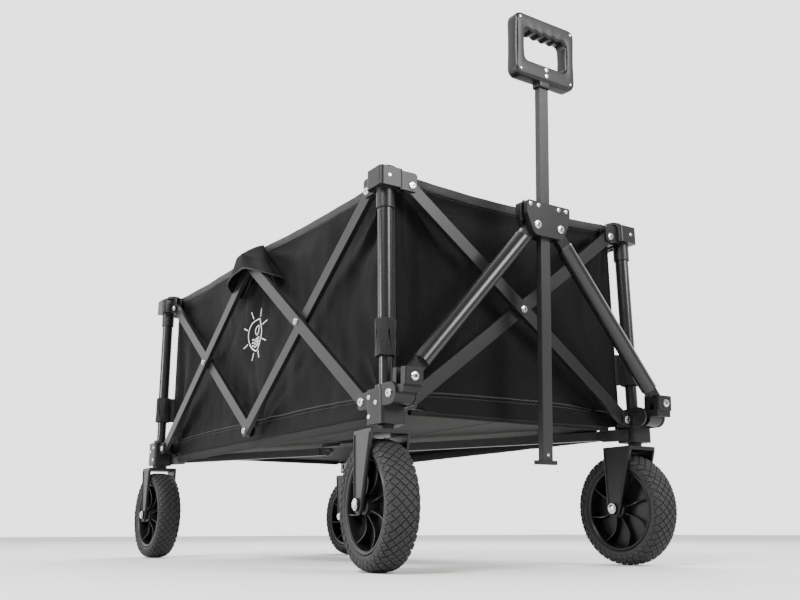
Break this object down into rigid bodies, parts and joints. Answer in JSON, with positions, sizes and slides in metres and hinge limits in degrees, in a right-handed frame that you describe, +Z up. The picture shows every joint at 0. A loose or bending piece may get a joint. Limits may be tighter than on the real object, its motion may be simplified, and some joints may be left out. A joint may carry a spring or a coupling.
{
  "type": "folding beach cart",
  "caption": "Four-wheeled folding beach cart: fabric tub on a crossing-bar frame with telescoping corner posts, swivel front wheels and a pull handle.",
  "frame": {"origin": "on the ground, at the middle of the open cart's overall box", "axes": "+X forward to the pull handle, +Y to the cart's left, +Z up"},
  "size_m": [1.0835, 0.5522, 0.8367],
  "materials": {
    "moulded_plastic": "fine moulded grain",
    "frame_tube": "black powder coat",
    "bar_metal": "black powder coat",
    "arm_metal": "black powder coat",
    "inner_tube_metal": "black powder coat",
    "handle_metal": "black anodised look",
    "tyre_rubber": "foam rubber tread",
    "rim_plastic": "moulded",
    "tub_fabric": "plain-woven polyester",
    "floor_fabric": "padded polyester"
  },
  "bodies": {
    "top_fr": {"top_bracket_fr": "moulded_plastic", "outer_tube_fr": "frame_tube", "tub_wall_right": "tub_fabric", "tub_floor": "floor_fabric", "tub_wall_front": "tub_fabric"},
    "lower_fr": {"lower_bracket_fr": "moulded_plastic", "inner_tube_fr": "inner_tube_metal"},
    "top_fl": {"top_bracket_fl": "moulded_plastic", "outer_tube_fl": "frame_tube", "tub_wall_left": "tub_fabric"},
    "lower_fl": {"lower_bracket_fl": "moulded_plastic", "inner_tube_fl": "inner_tube_metal"},
    "top_rr": {"top_bracket_rr": "moulded_plastic", "outer_tube_rr": "frame_tube", "tub_wall_rear": "tub_fabric"},
    "lower_rr": {"lower_bracket_rr": "moulded_plastic", "inner_tube_rr": "inner_tube_metal", "rear_fork_right": "moulded_plastic"},
    "top_rl": {"top_bracket_rl": "moulded_plastic", "outer_tube_rl": "frame_tube"},
    "lower_rl": {"lower_bracket_rl": "moulded_plastic", "inner_tube_rl": "inner_tube_metal", "rear_fork_left": "moulded_plastic"},
    "right_front_low": {"right_bar_front_low": "bar_metal"},
    "right_front_high": {"right_bar_front_high": "bar_metal"},
    "right_rear_low": {"right_bar_rear_low": "bar_metal"},
    "right_rear_high": {"right_bar_rear_high": "bar_metal"},
    "front_a": {"front_bar_a": "bar_metal"},
    "front_b": {"front_bar_b": "bar_metal"},
    "rear_a": {"rear_bar_a": "bar_metal"},
    "rear_b": {"rear_bar_b": "bar_metal"},
    "left_front_low": {"left_bar_front_low": "bar_metal"},
    "left_front_high": {"left_bar_front_high": "bar_metal"},
    "left_rear_low": {"left_bar_rear_low": "bar_metal"},
    "left_rear_high": {"left_bar_rear_high": "bar_metal"},
    "floor_arm_fr": {"floor_arm_fr": "arm_metal"},
    "floor_arm_fl": {"floor_arm_fl": "arm_metal"},
    "floor_arm_rr": {"floor_arm_rr": "arm_metal"},
    "floor_arm_rl": {"floor_arm_rl": "arm_metal"},
    "floor_hub": {"floor_hub": "moulded_plastic"},
    "caster_right": {"caster_fork_right": "moulded_plastic"},
    "caster_left": {"caster_fork_left": "moulded_plastic"},
    "wheel_fr": {"tyre_fr": "tyre_rubber", "rim_fr": "rim_plastic"},
    "wheel_fl": {"tyre_fl": "tyre_rubber", "rim_fl": "rim_plastic"},
    "wheel_rr": {"tyre_rr": "tyre_rubber", "rim_rr": "rim_plastic"},
    "wheel_rl": {"tyre_rl": "tyre_rubber", "rim_rl": "rim_plastic"},
    "yoke_right": {"yoke_right": "moulded_plastic"},
    "yoke_left": {"yoke_left": "moulded_plastic"},
    "leg_right": {"handle_leg_right": "frame_tube"},
    "leg_left": {"handle_leg_left": "frame_tube"},
    "handle_bracket": {"handle_bracket_front": "moulded_plastic", "handle_bracket_rear": "moulded_plastic"},
    "handle": {"handle_tube": "handle_metal", "handle_end_cap": "moulded_plastic", "handle_grip": "moulded_plastic"}
  },
  "joints": [
    {"name": "fold", "type": "hinge", "parent": "right_front_high", "child": "top_fr", "pos_m": [0.41124, -0.2445, 0.538], "axis": [0, 1, 0], "range_deg": [0, 44.76], "deforming": ["tub_wall_right", "tub_wall_left", "tub_wall_front", "tub_wall_rear", "tub_floor"]},
    {"name": "right_front_cross", "type": "hinge", "parent": "right_front_low", "child": "right_front_high", "pos_m": [0.20374, -0.249, 0.382], "axis": [0, 1, 0], "range_deg": [-89.61, 0]},
    {"name": "right_mid_top_pivot", "type": "hinge", "parent": "right_front_low", "child": "right_rear_low", "pos_m": [-0.00376, -0.249, 0.538], "axis": [0, -1, 0], "range_deg": [0, 89.61]},
    {"name": "right_rear_cross", "type": "hinge", "parent": "right_rear_low", "child": "right_rear_high", "pos_m": [-0.21126, -0.24, 0.382], "axis": [0, -1, 0], "range_deg": [-89.61, 0]},
    {"name": "lower_fr_pivot", "type": "hinge", "parent": "lower_fr", "child": "right_front_low", "pos_m": [0.41124, -0.2535, 0.226], "axis": [0, 1, 0], "range_deg": [0, 44.8]},
    {"name": "top_rr_pivot", "type": "hinge", "parent": "right_rear_high", "child": "top_rr", "pos_m": [-0.41876, -0.2355, 0.538], "axis": [0, -1, 0], "range_deg": [0, 44.8]},
    {"name": "lower_rr_pivot", "type": "hinge", "parent": "right_rear_low", "child": "lower_rr", "pos_m": [-0.41876, -0.2445, 0.226], "axis": [0, -1, 0], "range_deg": [-44.8, 0]},
    {"name": "front_a_pivot", "type": "hinge", "parent": "top_fr", "child": "front_a", "pos_m": [0.45824, -0.2075, 0.538], "axis": [-1, 0, 0], "range_deg": [0, 44.8]},
    {"name": "front_cross", "type": "hinge", "parent": "front_a", "child": "front_b", "pos_m": [0.45374, 0, 0.382], "axis": [-1, 0, 0], "range_deg": [-89.61, 0]},
    {"name": "top_fl_pivot", "type": "hinge", "parent": "front_b", "child": "top_fl", "pos_m": [0.44924, 0.2075, 0.538], "axis": [-1, 0, 0], "range_deg": [0, 44.8]},
    {"name": "lower_fl_pivot", "type": "hinge", "parent": "front_a", "child": "lower_fl", "pos_m": [0.45824, 0.2075, 0.226], "axis": [-1, 0, 0], "range_deg": [-44.8, 0]},
    {"name": "rear_a_pivot", "type": "hinge", "parent": "top_rr", "child": "rear_a", "pos_m": [-0.46576, -0.2075, 0.538], "axis": [-1, 0, 0], "range_deg": [0, 44.8]},
    {"name": "rear_cross", "type": "hinge", "parent": "rear_a", "child": "rear_b", "pos_m": [-0.46126, 0, 0.382], "axis": [-1, 0, 0], "range_deg": [-89.61, 0]},
    {"name": "lower_rl_pivot", "type": "hinge", "parent": "rear_a", "child": "lower_rl", "pos_m": [-0.46576, 0.2075, 0.226], "axis": [-1, 0, 0], "range_deg": [-44.8, 0]},
    {"name": "left_front_high_pivot", "type": "hinge", "parent": "top_fl", "child": "left_front_high", "pos_m": [0.41124, 0.2445, 0.538], "axis": [0, -1, 0], "range_deg": [0, 44.8]},
    {"name": "left_front_cross", "type": "hinge", "parent": "left_front_high", "child": "left_front_low", "pos_m": [0.20374, 0.249, 0.382], "axis": [0, -1, 0], "range_deg": [-89.61, 0]},
    {"name": "left_mid_top_pivot", "type": "hinge", "parent": "left_front_low", "child": "left_rear_low", "pos_m": [-0.00376, 0.249, 0.538], "axis": [0, -1, 0], "range_deg": [0, 89.61]},
    {"name": "left_rear_cross", "type": "hinge", "parent": "left_rear_low", "child": "left_rear_high", "pos_m": [-0.21126, 0.24, 0.382], "axis": [0, -1, 0], "range_deg": [-89.61, 0]},
    {"name": "top_rl_pivot", "type": "hinge", "parent": "left_rear_high", "child": "top_rl", "pos_m": [-0.41876, 0.2355, 0.538], "axis": [0, -1, 0], "range_deg": [0, 44.8]},
    {"name": "floor_arm_fr_pivot", "type": "hinge", "parent": "lower_fr", "child": "floor_arm_fr", "pos_m": [0.41124, -0.2075, 0.204], "axis": [0.4472, 0.8944, 0], "range_deg": [0, 89.52]},
    {"name": "floor_arm_fl_pivot", "type": "hinge", "parent": "lower_fl", "child": "floor_arm_fl", "pos_m": [0.41124, 0.2075, 0.204], "axis": [-0.4472, 0.8944, 0], "range_deg": [0, 89.52]},
    {"name": "floor_arm_rr_pivot", "type": "hinge", "parent": "lower_rr", "child": "floor_arm_rr", "pos_m": [-0.41876, -0.2075, 0.204], "axis": [0.4472, -0.8944, 0], "range_deg": [0, 89.52]},
    {"name": "floor_arm_rl_pivot", "type": "hinge", "parent": "lower_rl", "child": "floor_arm_rl", "pos_m": [-0.41876, 0.2075, 0.204], "axis": [-0.4472, -0.8944, 0], "range_deg": [0, 89.52]},
    {"name": "floor_hub_pivot", "type": "hinge", "parent": "floor_arm_fr", "child": "floor_hub", "pos_m": [0.06784, -0.0358, 0.204], "axis": [0.4472, 0.8944, 0], "range_deg": [-89.52, 0]},
    {"name": "caster_swivel_right", "type": "hinge", "parent": "lower_fr", "child": "caster_right", "pos_m": [0.44624, -0.2425, 0.21], "axis": [0, 0, 1], "continuous": true},
    {"name": "caster_swivel_left", "type": "hinge", "parent": "lower_fl", "child": "caster_left", "pos_m": [0.44624, 0.2425, 0.21], "axis": [0, 0, 1], "continuous": true},
    {"name": "wheel_spin_fr", "type": "hinge", "parent": "caster_right", "child": "wheel_fr", "pos_m": [0.4195, -0.23874, 0.088], "axis": [0.1392, 0.9903, 0], "continuous": true},
    {"name": "wheel_spin_fl", "type": "hinge", "parent": "caster_left", "child": "wheel_fl", "pos_m": [0.41924, 0.2425, 0.088], "axis": [0, 1, 0], "continuous": true},
    {"name": "wheel_spin_rr", "type": "hinge", "parent": "lower_rr", "child": "wheel_rr", "pos_m": [-0.45376, -0.2425, 0.088], "axis": [0, 1, 0], "continuous": true},
    {"name": "wheel_spin_rl", "type": "hinge", "parent": "lower_rl", "child": "wheel_rl", "pos_m": [-0.45376, 0.2425, 0.088], "axis": [0, 1, 0], "continuous": true},
    {"name": "handle_tilt", "type": "hinge", "parent": "lower_fr", "child": "yoke_right", "pos_m": [0.48174, -0.2425, 0.23], "axis": [0, 1, 0], "range_deg": [0, 75]},
    {"name": "leg_right_foot", "type": "hinge", "parent": "yoke_right", "child": "leg_right", "pos_m": [0.49931, -0.2425, 0.25011], "axis": [0.9986, 0, -0.0523], "range_deg": [0, 33.04]},
    {"name": "leg_right_head", "type": "hinge", "parent": "leg_right", "child": "handle_bracket", "pos_m": [0.51224, -0.023, 0.49677], "axis": [0.9986, 0, -0.0523], "range_deg": [-33.04, 0]},
    {"name": "leg_left_head", "type": "hinge", "parent": "handle_bracket", "child": "leg_left", "pos_m": [0.51224, 0.023, 0.49677], "axis": [0.9986, 0, -0.0523], "range_deg": [-33.04, 0]},
    {"name": "leg_left_foot", "type": "hinge", "parent": "leg_left", "child": "yoke_left", "pos_m": [0.49931, 0.2425, 0.25011], "axis": [0.9986, 0, -0.0523], "range_deg": [0, 33.04]},
    {"name": "handle_slide", "type": "slide", "parent": "handle_bracket", "child": "handle", "axis": [0.0523, 0, 0.9986], "range_m": [0, 0.27]}
  ],
  "couplings": [
    {"joint": "right_front_cross", "follows": "fold", "ratio": -2},
    {"joint": "right_mid_top_pivot", "follows": "fold", "ratio": 2},
    {"joint": "right_rear_cross", "follows": "fold", "ratio": -2},
    {"joint": "lower_fr_pivot", "follows": "fold", "ratio": 1},
    {"joint": "top_rr_pivot", "follows": "fold", "ratio": 1},
    {"joint": "lower_rr_pivot", "follows": "fold", "ratio": -1},
    {"joint": "front_a_pivot", "follows": "fold", "ratio": 1},
    {"joint": "front_cross", "follows": "fold", "ratio": -2},
    {"joint": "top_fl_pivot", "follows": "fold", "ratio": 1},
    {"joint": "lower_fl_pivot", "follows": "fold", "ratio": -1},
    {"joint": "rear_a_pivot", "follows": "fold", "ratio": 1},
    {"joint": "rear_cross", "follows": "fold", "ratio": -2},
    {"joint": "lower_rl_pivot", "follows": "fold", "ratio": -1},
    {"joint": "left_front_high_pivot", "follows": "fold", "ratio": 1},
    {"joint": "left_front_cross", "follows": "fold", "ratio": -2},
    {"joint": "left_mid_top_pivot", "follows": "fold", "ratio": 2},
    {"joint": "left_rear_cross", "follows": "fold", "ratio": -2},
    {"joint": "top_rl_pivot", "follows": "fold", "ratio": 1},
    {"joint": "floor_arm_fr_pivot", "follows": "fold", "ratio": 1.9981},
    {"joint": "floor_arm_fl_pivot", "follows": "fold", "ratio": 1.9981},
    {"joint": "floor_arm_rr_pivot", "follows": "fold", "ratio": 1.9981},
    {"joint": "floor_arm_rl_pivot", "follows": "fold", "ratio": 1.9981},
    {"joint": "floor_hub_pivot", "follows": "fold", "ratio": -1.9981},
    {"joint": "leg_right_foot", "follows": "fold", "ratio": 0.73754},
    {"joint": "leg_right_head", "follows": "fold", "ratio": -0.73754},
    {"joint": "leg_left_head", "follows": "fold", "ratio": -0.73754},
    {"joint": "leg_left_foot", "follows": "fold", "ratio": 0.73754}
  ]
}
